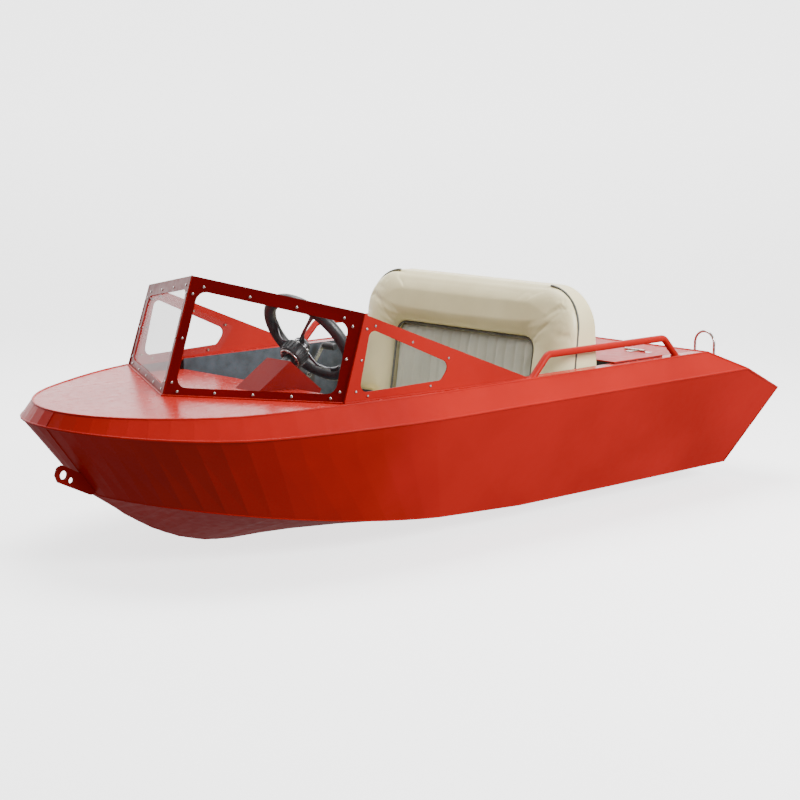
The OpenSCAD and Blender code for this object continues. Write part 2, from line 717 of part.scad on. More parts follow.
bearing_d = shaft_d + 16;
drum_d = 84;         // helm drum on the aft face of the console
module column_bearing() {
    color("dimgray") centred() on_column()
        translate([0, 0, -hub_drop - face_run]) difference() {
            union() {
                translate([0, 0, -24]) cylinder(d = bearing_d, h = 38);
                translate([0, 0, 13]) cylinder(d = drum_d, h = face_run - 13 - 14);
            }
            translate([0, 0, -24 - cut])
                cylinder(d = shaft_d + 2 * pin_gap, h = face_run + 40);
        }
}

module steering_shaft() {
    color(steel) centred() on_column() translate([0, 0, -hub_drop - face_run - 30])
        cylinder(d = shaft_d, h = face_run + 30 - 10 - gap);
}

module wheel_rim() {
    color([0.05, 0.05, 0.05]) centred() on_column() rotate_extrude($fn = 96)
        translate([wheel_d / 2, 0]) circle(d = rim_d, $fn = 32);
}

module wheel_spokes() {
    inner = hub_d / 2 - 4;
    outer = wheel_d / 2 - rim_d / 2 - 1;
    bend = outer - 52;
    color("dimgray") centred() on_column() {
        translate([0, 0, -hub_drop - 10]) cylinder(d = hub_d, h = 10);
        for (a = [40, 160, 280]) rotate([0, 0, a]) translate([0, 14, 0]) rotate([90, 0, 0])
            linear_extrude(28) polygon([[inner, -hub_drop - 8], [bend, -hub_drop - 7],
                [outer, -3], [outer, 2], [bend - 3, -hub_drop - 2],
                [inner, -hub_drop - 2]]);
    }
}

module wheel_boss() {
    color([0.1, 0.1, 0.1]) centred() on_column() translate([0, 0, -hub_drop + gap])
        rotate_extrude() polygon([[0, 0], [31, 0], [31, 6], [24, 15], [0, 18]]);
}

throttle_x = 1440;
throttle_z = hull_h - 110;
throttle_y = -lining_half + lining_t + gap;
throttle_box_w = 30;
module throttle_box() {
    color([0.1, 0.1, 0.1]) centred() translate([throttle_x, throttle_y, throttle_z]) {
        fore_aft(0, throttle_box_w)
            polygon(rounded([[-38, -55], [38, -55], [38, 50], [-38, 50]], 12));
        rod_y(14, throttle_box_w, throttle_box_w + 16);
    }
}

lever_l = 128;
lever_tilt = 36;
grip_l = 66;
module throttle_frame() {
    translate([throttle_x, throttle_y + throttle_box_w + gap, throttle_z])
        rotate([0, -lever_tilt, 0]) children();
}
module throttle_lever() {
    color(steel) centred() throttle_frame() difference() {
        union() {
            rod_y(26, 0, 12);
            translate([-7, 2, 0]) cube([14, 7, lever_l]);
            translate([0, 0, lever_l]) rod_y(12, 2, grip_l);
        }
        rod_y(14 + 2 * pin_gap, -cut, 20);
    }
}
module throttle_grip() {
    color([0.05, 0.05, 0.05]) centred() throttle_frame() translate([0, 0, lever_l])
        difference() {
            translate([0, 9 + gap, 0]) rotate([-90, 0, 0]) rotate_extrude()
                polygon([[0, 0], [11, 0], [14, 8], [14, grip_l - 8], [11, grip_l],
                    [0, grip_l]]);
            rod_y(12 + 2 * pin_gap, 0, grip_l + pin_gap);
        }
}

// ---- seat ----
seat_x0 = bulkhead_x + plate_t + 11;       // back of the backrest
cushion_x0 = seat_x0 + 195;
seat_base_z = sole_h + lining_t + gap;
seat_base_top = seat_base_z + seat_base_h;
cushion_z = seat_base_top + gap;
backrest_z = cushion_z + cushion_t + gap;

module seat_base() {
    w = 2 * (sole_half - lining_t - gap) - 60;
    l = cushion_l + 20;
    color(charcoal) centred() translate([cushion_x0 - 30, -w / 2, seat_base_z])
        difference() {
            cube([l, w, seat_base_h]);
            translate([lining_t, lining_t, -cut])
                cube([l - 2 * lining_t, w - 2 * lining_t, seat_base_h - lining_t + cut]);
        }
}

module seat_cushion() {
    w = seat_w - 60;
    color(cream) centred() translate([cushion_x0, 0, cushion_z]) athwart(0, cushion_l)
        polygon(rounded([[-w / 2, 0], [w / 2, 0], [w / 2, cushion_t],
            [-w / 2, cushion_t]], 30));
}

module seat_backrest() {
    h = backrest_h;
    color(cream) centred() translate([seat_x0, 0, backrest_z]) intersection() {
        athwart(-cut, 300) polygon(concat(
            corner_arc([seat_w / 2, 0], [seat_w / 2, h], [-seat_w / 2, h], 150, 10),
            corner_arc([seat_w / 2, h], [-seat_w / 2, h], [-seat_w / 2, 0], 150, 10),
            corner_arc([-seat_w / 2, h], [-seat_w / 2, 0], [seat_w / 2, 0], 30, 4),
            corner_arc([-seat_w / 2, 0], [seat_w / 2, 0], [seat_w / 2, h], 30, 4)));
        fore_aft(-seat_w, 2 * seat_w) polygon([[0, 0], [215, 0], [225, 40], [165, 300],
            [140, h - 55], [105, h], [55, h], [20, h - 35], [0, h - 150]]);
    }
}

// ---- rails and loops ----
rail_y = deck_half - 21;
rail_x0 = 615;
module grab_rail() {
    bend = 40;
    r = rail_d / 2;
    run = 75;
    foot = hull_h + gap;
    top = hull_h + rail_h - r;
    lean = atan2(run, top - foot);
    arc = 90 - lean;
    setoff = bend * tan(arc / 2);
    leg = (top - foot) / cos(lean) - setoff;
    lap = 0.5;       // how far the straight tubes run over the bend
    color(red) centred() translate([rail_x0, rail_y, 0]) {
        for (side = [0, 1])
            translate([side * rail_l, 0, 0]) mirror([side, 0, 0]) {
                translate([0, 0, foot]) intersection() {
                    rotate([0, lean, 0]) translate([0, 0, -r]) cylinder(r = r, h = leg + r + lap);
                    translate([-rail_l, -rail_d, 0]) cube([2 * rail_l, 2 * rail_d, 200]);
                }
                translate([0, 0, foot]) rotate([0, lean, 0])
                    translate([bend, 0, leg]) rotate([90, 0, 0]) rotate([0, 0, 180 - arc])
                        rotate_extrude(angle = arc) translate([bend, 0]) circle(r = r - 0.05);
            }
        translate([0, 0, top]) rod_x(rail_d, run + setoff - lap, rail_l - run - setoff + lap);
    }
}
module grab_rail_port() {
    grab_rail();
}
module grab_rail_starboard() {
    starboard() grab_rail();
}

loop_x = 172;
loop_y = 390;
loop_half = 46;
loop_leg = 92;
module stern_loop() {
    r = loop_rod_d / 2;
    surface = hull_h - (slope_l - loop_x) / slope_run + plate_t / cos(slope_angle);
    foot = surface + r * tan(slope_angle) + gap;
    color(steel) centred() translate([loop_x, loop_y, foot]) {
        for (s = [-1, 1]) translate([0, s * loop_half, 0]) cylinder(r = r, h = loop_leg);
        translate([0, 0, loop_leg]) rotate([90, 0, 90]) rotate_extrude(angle = 180)
            translate([loop_half, 0]) circle(r = r, $fn = 24);
    }
}
module stern_loop_port() {
    stern_loop();
}
module stern_loop_starboard() {
    starboard() stern_loop();
}

stem_angle = atan2(bevel_z(90) - stem_foot_h, stem_setback);
eye_at = [143, 50];      // large hole: distance up the stem and out from it
small_eye_at = [110, 41];
small_eye_d = 20;
module bow_eye() {
    color(red) centred() translate([stem_foot, 0, stem_foot_h]) rotate([0, -stem_angle, 0])
        mirror([0, 0, 1]) fore_aft(-eye_t / 2, eye_t) difference() {
            polygon(rounded([[8, gap], [100, gap], [171, 33], [177, 52], [164, 73],
                [139, 79], [20, 19]], 6));
            translate(eye_at) circle(d = eye_d);
            translate(small_eye_at) circle(d = small_eye_d);
        }
}

// ---- engine hatch ----
seal_t = 3;
hatch_z = hull_h + seal_t + 2 * gap;
hatch_half = cockpit_half + 18;
hinge_x = hatch_x0 - hatch_edge - 4;
hinge_z = hatch_z + plate_t + 4;
hinge_pin_d = 5;
hinge_barrel_d = 9;
hinge_y = 440;
hinge_w = 90;

module engine_hatch() {
    lip = 14;
    lip_half = cockpit_half - 8;
    color(red) centred() {
        translate([hatch_x0 - hatch_edge, -hatch_half, hatch_z])
            cube([hatch_l + hatch_edge + 8, 2 * hatch_half, plate_t]);
        translate([hatch_x0 + 20, -lip_half, hatch_z - lip]) difference() {
            cube([hatch_l - 45, 2 * lip_half, lip]);
            translate([plate_t, plate_t, -cut])
                cube([hatch_l - 45 - 2 * plate_t, 2 * lip_half - 2 * plate_t,
                    lip + cut - 0.5]);
        }
    }
}

module hatch_seal() {
    w = 9;
    x0 = hatch_x0 - hatch_edge + 1;
    l = hatch_l + hatch_edge + 2;
    color([0.08, 0.08, 0.08]) centred()
        translate([x0, -cockpit_half - 14, hull_h + gap]) difference() {
            cube([l, cockpit_w + 28, seal_t]);
            translate([w, w, -cut]) cube([l - 2 * w, cockpit_w + 28 - 2 * w, seal_t + 2 * cut]);
        }
}

// Knuckles alternate: the deck leaf holds the ends and the lid leaf the middle.
module hinge_leaf(lid, y) {
    third = hinge_w / 3;
    spans = lid ? [[third + gap, 2 * third - gap]] : [[0, third - gap],
        [2 * third + gap, hinge_w]];
    leaf_z = hatch_z + plate_t + gap;
    leaf_l = 42;
    translate([hinge_x, y - hinge_w / 2, 0]) difference() {
        union() {
            for (s = spans) translate([0, 0, hinge_z]) rod_y(hinge_barrel_d, s[0], s[1]);
            for (s = spans) if (lid) translate([0, s[0], leaf_z])
                cube([leaf_l, s[1] - s[0], 2]);
            else translate([-leaf_l, s[0], hull_h + gap]) cube([leaf_l, s[1] - s[0], 2]);
            for (s = spans) if (!lid) translate([-hinge_barrel_d / 2, s[0], hull_h + gap])
                cube([3, s[1] - s[0], hinge_z - hull_h - gap]);
        }
        translate([0, 0, hinge_z]) rod_y(hinge_pin_d + (lid ? 2 * pin_gap : 2 * pin_gap),
            -cut, hinge_w + cut);
    }
}

module hatch_hinges() {
    color(steel) centred() for (y = [-hinge_y, hinge_y]) hinge_leaf(true, y);
}

module hatch_hinge_pins() {
    color(steel) centred() for (y = [-hinge_y, hinge_y]) {
        hinge_leaf(false, y);
        translate([hinge_x, y - hinge_w / 2, hinge_z]) {
            rod_y(hinge_pin_d, 0, hinge_w);
            rod_y(hinge_barrel_d, -3, -gap);
        }
    }
}

// ---- engine and jet ----
pump_od = pump_d + 2 * pump_wall;
pump_x0 = 60;
pump_x1 = 330;
intake_x0 = 385;
intake_x1 = 560;
intake_w = 100;
engine_x0 = 600;
duct_half = intake_w / 2 + 12;
impeller_x0 = 230;
impeller_l = 56;
nozzle_x = 38;       // steering axis of the nozzle
nozzle_d = 92;
nozzle_wall = 6;
bucket_x = 85;       // pivot of the reverse bucket
bucket_r = 98;
bucket_t = 5;
bucket_half = 82;
pivot_d = 12;

module engine_block() {
    color("dimgray") centred() difference() {
        union() {
            translate([engine_x0, -105, jet_h - 60]) cube([230, 210, 130]);
            translate([engine_x0 + 30, -80, jet_h + 70]) cube([170, 160, 110]);
            translate([engine_x0 + 20, -88, jet_h + 180]) cube([190, 176, 46]);
            translate([0, 0, jet_h]) rod_x(90, engine_x0 - 35, engine_x0 + 1);
            for (x = [30, 180], y = [-140, 104])
                translate([engine_x0 + x, y, v_top(140) + gap])
                    cube([40, 36, jet_h - 20 - v_top(140)]);
            translate([engine_x0 + 60, 79, jet_h + 100]) cube([90, 60, 50]);
        }
        translate([0, 0, jet_h]) rod_x(drive_d + 2 * pin_gap, engine_x0 - 36, engine_x0 + 60);
    }
}

module drive_shaft() {
    color(steel) centred() translate([0, 0, jet_h]) {
        rod_x(drive_d, impeller_x0 - 45, engine_x0 + 55);
        rod_x(56, engine_x0 - 75, engine_x0 - 37);
    }
}

module impeller() {
    hub = drive_d + 20;
    color("darkgoldenrod") centred() translate([impeller_x0, 0, jet_h]) difference() {
        intersection() {
            union() {
                rod_x(hub, 0, impeller_l);
                for (i = [0:blade_n - 1]) rotate([360 / blade_n * i, 0, 0])
                    translate([impeller_l / 2, 0, 0]) rotate([0, 0, 40])
                        translate([-45, -2, hub / 2 - 4]) cube([90, 4, pump_d / 2]);
            }
            rod_x(pump_d - 2, 0, impeller_l);
        }
        rod_x(drive_d + 2 * pin_gap, -cut, impeller_l + cut);
    }
}

module duct_profile() {
    polygon([[pump_x1 + gap, 0], [intake_x1 + 18, 0], [intake_x1 + 18, 40],
        [pump_x1 + 105, jet_h + 38], [pump_x1 + 80, jet_h + pump_od / 2],
        [pump_x1 + gap, jet_h + pump_od / 2]]);
}
module duct_cavity() {
    polygon([[pump_x1 + 6, -cut], [intake_x1 + 4, -cut], [intake_x1 + 4, 36],
        [pump_x1 + 96, jet_h + 32], [pump_x1 + 74, jet_h + pump_od / 2 - 6],
        [pump_x1 + 6, jet_h + pump_od / 2 - 6]]);
}
module intake_duct() {
    seat_z = v_top(duct_half + 20) + gap;
    color("lightgray") centred() difference() {
        union() {
            difference() {
                fore_aft(-duct_half - 12, 2 * duct_half + 24) duct_profile();
                fore_aft(-duct_half, 2 * duct_half) duct_cavity();
            }
            translate([0, 0, jet_h]) rod_x(drive_d + 24, pump_x1 + 78, pump_x1 + 140);
        }
        translate([0, 0, jet_h]) rod_x(drive_d + 2 * pin_gap, pump_x1, pump_x1 + 180);
        translate([0, 0, jet_h]) rod_x(pump_d, pump_x1 - cut, pump_x1 + 20);
        athwart(0, intake_x1 + 60) polygon([[0, v_top(0) + gap],
            [-duct_half - 20, seat_z], [-duct_half - 20, -50],
            [duct_half + 20, -50], [duct_half + 20, seat_z]]);
    }
}

module intake_grate() {
    color(steel) centred() for (y = [-30, -10, 10, 30])
        translate([intake_x0 + gap, y - 2.5, abs(y) * tan(deadrise) + gap])
            cube([intake_x1 - intake_x0 - 2 * gap, 5, plate_t]);
}

module pump_housing() {
    lug_in = nozzle_d / 2 + 9;
    color("lightgray") centred() translate([0, 0, jet_h]) difference() {
        union() {
            difference() {
                union() {
                    rod_x(pump_od, pump_x0, pump_x1);
                    translate([bucket_x, 0, 0])
                        rod_y(pivot_d, -bucket_half - 3, bucket_half + 3);
                }
                rod_x(pump_d, pump_x0 - cut, pump_x1 + cut);
            }
            for (s = [0, 1]) mirror([0, 0, s]) translate([nozzle_x - 12, -12, lug_in])
                cube([pump_x0 - nozzle_x + 20, 24, 10]);
            // stator vanes that carry the aft end of the shaft
            for (a = [0:60:300]) rotate([a, 0, 0])
                translate([impeller_x0 - 50, -2, drive_d / 2 + 4])
                    cube([40, 4, pump_d / 2 - drive_d / 2 - 2]);
            rod_x(drive_d + 18, impeller_x0 - 55, impeller_x0 - 5);
        }
        rod_x(drive_d + 2 * pin_gap, impeller_x0 - 50, impeller_x0);
        translate([nozzle_x, 0, -pump_od]) cylinder(d = 10 + 2 * pin_gap, h = 2 * pump_od);
    }
}

module steering_nozzle() {
    lug_in = nozzle_d / 2 + 9;
    color("lightgray") centred() translate([0, 0, jet_h]) difference() {
        union() {
            rod_x(nozzle_d, nozzle_x - 26, nozzle_x + 16);
            translate([nozzle_x, 0, -lug_in - 8]) cylinder(d = 10, h = 2 * lug_in + 16);
        }
        rod_x(nozzle_d - 2 * nozzle_wall, nozzle_x - 26 - cut, nozzle_x + 16 + cut);
    }
}

module reverse_bucket() {
    rise = [104, 150];
    outer_r = bucket_r + bucket_t;
    color("lightgray") centred() translate([bucket_x, 0, jet_h]) difference() {
        union() {
            rotate([90, 0, 0]) rotate([0, 0, rise[0]])
                rotate_extrude(angle = rise[1] - rise[0], $fn = 96)
                    translate([bucket_r, -bucket_half]) square([bucket_t, 2 * bucket_half]);
            for (y = [-bucket_half, bucket_half - bucket_t]) fore_aft(y, bucket_t)
                polygon(concat([[13, -6], [10, 10]],
                    [for (i = [0:8]) let (a = rise[0] + (rise[1] - rise[0]) * i / 8)
                        outer_r * [cos(a), sin(a)]], [[-12, -8], [0, -14]]));
        }
        rod_y(pivot_d + 2 * pin_gap, -bucket_half - cut, bucket_half + cut);
    }
}

module fuel_tank() {
    y0 = 240;
    y1 = 420;
    color([0.75, 0.12, 0.1]) centred() {
        athwart(engine_x0 + 90, 210) polygon([[y1, v_top(y1) + gap], [y1, 260], [y0, 260],
            [y0, v_top(y0) + gap]]);
        translate([engine_x0 + 150, 330, 260]) cylinder(d = 60, h = 22);
    }
}

bottom_plate_port();
bottom_plate_starboard();
side_plate_port();
side_plate_starboard();
gunwale_bevel_port();
gunwale_bevel_starboard();
foredeck();
side_deck_port();
side_deck_starboard();
aft_deck();
stern_slope_plate();
transom();
keel_bar();
floor_frames();
cockpit_sole();
lining_port();
lining_starboard();
dash_panel();
forward_bulkhead();
engine_bulkhead();
screen_frame_port();
screen_frame_starboard();
side_frame_port();
side_frame_starboard();
screen_pane_port();
screen_pane_starboard();
side_pane_port();
side_pane_starboard();
screws_port();
screws_starboard();
helm_console();
column_bearing();
steering_shaft();
wheel_rim();
wheel_spokes();
wheel_boss();
throttle_box();
throttle_lever();
throttle_grip();
seat_base();
seat_cushion();
seat_backrest();
grab_rail_port();
grab_rail_starboard();
stern_loop_port();
stern_loop_starboard();
bow_eye();
engine_hatch();
hatch_seal();
hatch_hinges();
hatch_hinge_pins();
engine_block();
drive_shaft();
impeller();
intake_duct();
intake_grate();
pump_housing();
steering_nozzle();
reverse_bucket();
fuel_tank();
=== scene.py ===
import json
import math
import bpy
import numpy as np
from mathutils import Matrix, Vector


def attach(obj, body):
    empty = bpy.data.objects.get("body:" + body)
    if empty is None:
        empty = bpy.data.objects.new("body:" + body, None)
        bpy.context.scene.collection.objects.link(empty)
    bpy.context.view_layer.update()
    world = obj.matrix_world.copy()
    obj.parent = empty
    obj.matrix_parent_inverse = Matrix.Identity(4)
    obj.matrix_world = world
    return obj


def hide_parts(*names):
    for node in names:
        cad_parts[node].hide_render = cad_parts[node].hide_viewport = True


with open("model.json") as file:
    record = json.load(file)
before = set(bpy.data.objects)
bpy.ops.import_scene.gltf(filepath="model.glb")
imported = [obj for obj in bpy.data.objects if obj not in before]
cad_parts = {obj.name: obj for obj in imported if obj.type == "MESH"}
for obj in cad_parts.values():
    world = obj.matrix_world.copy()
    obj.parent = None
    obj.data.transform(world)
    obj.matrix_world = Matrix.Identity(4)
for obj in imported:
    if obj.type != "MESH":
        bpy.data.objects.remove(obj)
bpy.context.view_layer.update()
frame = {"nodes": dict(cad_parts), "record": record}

NODES = frame["nodes"]
STERN = -1.4914       # stern tip of the hull along X, in the shared frame
DECK = 0.535          # height of the deck edge


# ---------- helpers ----------
def clear():
    if bpy.context.object and bpy.context.object.mode != "OBJECT":
        bpy.ops.object.mode_set(mode="OBJECT")
    bpy.ops.object.select_all(action="DESELECT")


def only(o):
    clear()
    o.select_set(True)
    bpy.context.view_layer.objects.active = o
    return o


def named(name):
    o = bpy.context.object
    o.name = name
    o.data.name = name
    bpy.ops.object.transform_apply(location=True, rotation=True, scale=True)
    return o


def block(name, lo, hi):
    """A box from one corner to the other, with its object at the origin."""
    clear()
    lo, hi = Vector(lo), Vector(hi)
    bpy.ops.mesh.primitive_cube_add(size=1, location=(lo + hi) / 2, scale=hi - lo)
    return named(name)


def tube(name, at, axis, radius, depth, vertices=48):
    """A cylinder whose middle is at a point, along an axis."""
    clear()
    turn = Vector(axis).to_track_quat("Z", "Y").to_euler()
    bpy.ops.mesh.primitive_cylinder_add(
        vertices=vertices, radius=radius, depth=depth, location=at, rotation=turn)
    return named(name)


def pick(o, test, kind="VERT"):
    """Selects what passes the test by its middle, and stays in edit mode."""
    only(o)
    me = o.data
    for group in (me.vertices, me.edges, me.polygons):
        group.foreach_set("select", [False] * len(group))
    items = {"VERT": me.vertices, "EDGE": me.edges, "FACE": me.polygons}[kind]
    for item in items:
        if kind == "VERT":
            item.select = bool(test(item.co))
        elif kind == "EDGE":
            a, b = (me.vertices[i].co for i in item.vertices)
            item.select = bool(test((a + b) / 2, (b - a).normalized()))
        else:
            item.select = bool(test(item.center, item.normal))
    modes = [kind == k for k in ("VERT", "EDGE", "FACE")]
    bpy.context.tool_settings.mesh_select_mode = modes
    bpy.ops.object.mode_set(mode="EDIT")


def bevel(o, test, offset, segments):
    pick(o, test, "EDGE")
    bpy.ops.mesh.bevel(offset=offset, segments=segments, profile=0.5, affect="EDGES")
    bpy.ops.object.mode_set(mode="OBJECT")


def apply(o, kind, **values):
    only(o)
    m = o.modifiers.new(kind.title(), kind)
    for k, v in values.items():
        setattr(m, k, v)
    bpy.ops.object.modifier_apply(modifier=m.name)
    return o


def carve(o, cutter):
    apply(o, "BOOLEAN", operation="DIFFERENCE", object=cutter, solver="EXACT")
    bpy.data.objects.remove(cutter)


def coords(o):
    co = np.empty(len(o.data.vertices) * 3)
    o.data.vertices.foreach_get("co", co)
    return co.reshape(-1, 3)


def put_coords(o, co):
    o.data.vertices.foreach_set("co", co.reshape(-1))
    o.data.update()


def smooth(o, angle=None):
    only(o)
    if angle is None:
        bpy.ops.object.shade_smooth()
    else:
        bpy.ops.object.shade_smooth_by_angle(angle=math.radians(angle))


def dress(o, material, body="hull"):
    o.data.materials.clear()
    o.data.materials.append(material)
    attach(o, body)
    return o


def bead(name, points, radius, material, body="hull", closed=False):
    """A round bead along a line of points, turned into a mesh."""
    clear()
    bpy.ops.curve.primitive_nurbs_path_add()
    c = bpy.context.object
    c.name = name
    c.data.splines.clear()
    s = c.data.splines.new("POLY")
    s.points.add(len(points) - 1)
    for p, q in zip(s.points, points):
        p.co = (*q, 1)
    s.use_cyclic_u = closed
    c.data.dimensions = "3D"
    c.data.bevel_depth = radius
    c.data.bevel_resolution = 3
    c.data.use_fill_caps = True
    only(c)
    bpy.ops.object.convert(target="MESH")
    o = bpy.context.object
    o.location = (0, 0, 0)
    o.name = name
    smooth(o)
    return dress(o, material, body)


def hull(x, y, z):
    """A point of the hull, measured from the stern tip, in the shared frame."""
    return Vector((x + STERN, y, z))


# ---------- materials ----------
DUST = (0.5, 0.36, 0.32)


def new_material(name, base, rough, metallic=0.0, coat=0.0, coat_rough=0.1, spec=0.5):
    m = bpy.data.materials.new(name)
    m.use_nodes = True
    b = m.node_tree.nodes["Principled BSDF"]
    b.inputs["Base Color"].default_value = (*base, 1)
    b.inputs["Roughness"].default_value = rough
    b.inputs["Metallic"].default_value = metallic
    b.inputs["Coat Weight"].default_value = coat
    b.inputs["Coat Roughness"].default_value = coat_rough
    b.inputs["Specular IOR Level"].default_value = spec
    return m


def node(m, kind, **inputs):
    n = m.node_tree.nodes.new(kind)
    for k, v in inputs.items():
        n.inputs[k.replace("_", " ")].default_value = v
    return n


def link(m, a, b):
    m.node_tree.links.new(a, b)


def place(m, scale=(1, 1, 1)):
    t = node(m, "ShaderNodeTexCoord")
    p = node(m, "ShaderNodeMapping")
    p.inputs["Scale"].default_value = scale
    link(m, t.outputs["Object"], p.inputs["Vector"])
    return p.outputs["Vector"]


def noise(m, scale, detail=3.0, stretch=(1, 1, 1)):
    n = node(m, "ShaderNodeTexNoise", Scale=scale, Detail=detail)
    link(m, place(m, stretch), n.inputs["Vector"])
    return n.outputs["Fac"]


def cells(m, scale, stretch=(1, 1, 1)):
    n = node(m, "ShaderNodeTexVoronoi", Scale=scale)
    link(m, place(m, stretch), n.inputs["Vector"])
    return n.outputs["Distance"]


def remap(m, value, lo, hi, start=0.3, end=0.7):
    """Runs from lo to hi while the value runs from start to end."""
    n = node(m, "ShaderNodeMapRange")
    n.inputs["From Min"].default_value = start
    n.inputs["From Max"].default_value = end
    n.inputs["To Min"].default_value = lo
    n.inputs["To Max"].default_value = hi
    link(m, value, n.inputs["Value"])
    return n.outputs["Result"]


def tint(m, value, dark, light):
    """Runs from the dark to the light colour over the middle of the value."""
    n = node(m, "ShaderNodeValToRGB")
    n.color_ramp.elements[0].position = 0.35
    n.color_ramp.elements[1].position = 0.65
    n.color_ramp.elements[0].color = (*dark, 1)
    n.color_ramp.elements[1].color = (*light, 1)
    link(m, value, n.inputs["Fac"])
    return n.outputs["Color"]


def drive(m, output, socket):
    link(m, output, m.node_tree.nodes["Principled BSDF"].inputs[socket])


def bumps(m, *layers):
    """Each layer is (height, strength, distance); they stack."""
    last = None
    for height, strength, distance in layers:
        b = node(m, "ShaderNodeBump", Strength=strength, Distance=distance)
        link(m, height, b.inputs["Height"])
        if last:
            link(m, last, b.inputs["Normal"])
        last = b.outputs["Normal"]
    drive(m, last, "Normal")


def paint(name, dark, light, rough, dust, spec):
    """Gloss paint with slight waves, and a share of dust over it."""
    m = new_material(name, light, 0.25, spec=spec)
    colour = tint(m, noise(m, 2.2, 4.0), dark, light)
    if dust:
        mix = node(m, "ShaderNodeMix")
        mix.data_type = "RGBA"
        share, first, second, mixed = 0, 6, 7, 2      # the colour sockets by number
        mix.inputs[second].default_value = (*DUST, 1)
        link(m, remap(m, noise(m, 320, 4.0), 0.0, dust, 0.6, 0.78), mix.inputs[share])
        link(m, colour, mix.inputs[first])
        colour = mix.outputs[mixed]
    drive(m, colour, "Base Color")
    drive(m, remap(m, noise(m, 38, 5.0), *rough), "Roughness")
    bumps(m, (noise(m, 3.2, 2.0), 0.1, 0.005), (noise(m, 240, 2.0), 0.03, 0.0004))
    return m


def vinyl(name, dark, light):
    m = new_material(name, light, 0.4, coat=0.08, coat_rough=0.3, spec=0.42)
    drive(m, tint(m, noise(m, 7, 4.0), dark, light), "Base Color")
    drive(m, remap(m, noise(m, 60, 4.0), 0.33, 0.5), "Roughness")
    bumps(m, (noise(m, 22, 3.0), 0.1, 0.002), (cells(m, 620), 0.22, 0.0005))
    return m


red = paint("Red paint", (0.34, 0.01, 0.0065), (0.42, 0.013, 0.0085),
            (0.32, 0.44), 0.0, 0.07)
# the same red paint made lighter: painted sheen for the decks and dash, with real dust
# specks over it
dusty_red_with_painted_sheen = paint("Red paint, dust and painted sheen", (0.4, 0.015, 0.01), (0.5, 0.021, 0.014),
                 (0.18, 0.3), 0.4, 0.08)
# the same red paint made darker: painted shade for the windscreen frames, helm console and
# frame posts
red_painted_shade = paint("Red paint with painted shade", (0.17, 0.003, 0.0018), (0.22, 0.0045, 0.003),
                 (0.3, 0.42), 0.0, 0.06)
charcoal = new_material("Charcoal lining", (0.05, 0.065, 0.085), 0.6)
drive(charcoal, tint(charcoal, noise(charcoal, 30, 6.0), (0.022, 0.03, 0.042),
                     (0.045, 0.058, 0.078)), "Base Color")
drive(charcoal, remap(charcoal, noise(charcoal, 90, 4.0), 0.5, 0.72), "Roughness")
bumps(charcoal, (noise(charcoal, 420, 4.0), 0.3, 0.0012))
cream = vinyl("Cream vinyl", (0.8, 0.7, 0.4), (0.88, 0.78, 0.46))
grey = vinyl("Grey vinyl", (0.5, 0.5, 0.41), (0.6, 0.6, 0.5))
piping = vinyl("Piping", (0.09, 0.088, 0.075), (0.14, 0.135, 0.115))
black = new_material("Black grip", (0.014, 0.014, 0.015), 0.42, spec=0.5)
drive(black, tint(black, noise(black, 18, 4.0), (0.01, 0.01, 0.011), (0.028, 0.028, 0.03)),
      "Base Color")
drive(black, remap(black, noise(black, 55, 4.0), 0.3, 0.5), "Roughness")
bumps(black, (cells(black, 700), 0.3, 0.0006))
rubber = new_material("Rubber", (0.02, 0.02, 0.02), 0.75)
drive(rubber, remap(rubber, noise(rubber, 40, 4.0), 0.62, 0.85), "Roughness")
bumps(rubber, (noise(rubber, 500, 3.0), 0.2, 0.0005))
steel = new_material("Stainless", (0.62, 0.61, 0.59), 0.24, metallic=1.0)
drive(steel, remap(steel, noise(steel, 60, 4.0, (1, 1, 12)), 0.16, 0.34), "Roughness")
bumps(steel, (noise(steel, 400, 2.0, (1, 1, 8)), 0.06, 0.0003))
cast = new_material("Cast alloy", (0.5, 0.51, 0.52), 0.5, metallic=0.9)
drive(cast, remap(cast, noise(cast, 25, 5.0), 0.4, 0.62), "Roughness")
bumps(cast, (noise(cast, 260, 4.0), 0.25, 0.001))
bronze = new_material("Bronze", (0.45, 0.27, 0.11), 0.35, metallic=1.0)
drive(bronze, remap(bronze, noise(bronze, 40, 4.0), 0.25, 0.45), "Roughness")
bumps(bronze, (noise(bronze, 300, 3.0), 0.1, 0.0006))
engine_grey = new_material("Engine paint", (0.07, 0.075, 0.08), 0.45)
drive(engine_grey, tint(engine_grey, noise(engine_grey, 20, 5.0), (0.05, 0.055, 0.06),
                        (0.1, 0.105, 0.11)), "Base Color")
bumps(engine_grey, (noise(engine_grey, 180, 4.0), 0.25, 0.001))
gunmetal = new_material("Spoke metal", (0.16, 0.16, 0.17), 0.3, metallic=0.9)
drive(gunmetal, remap(gunmetal, noise(gunmetal, 50, 4.0), 0.22, 0.42), "Roughness")
bumps(gunmetal, (noise(gunmetal, 350, 3.0), 0.08, 0.0004))

acrylic = new_material("Clear acrylic", (0.3, 0.32, 0.33), 0.03, spec=0.4)
facing = node(acrylic, "ShaderNodeLayerWeight", Blend=0.5)
drive(acrylic, remap(acrylic, facing.outputs["Facing"], 0.025, 0.34, 0.45, 0.92), "Alpha")
drive(acrylic, remap(acrylic, noise(acrylic, 30, 3.0), 0.015, 0.06), "Roughness")

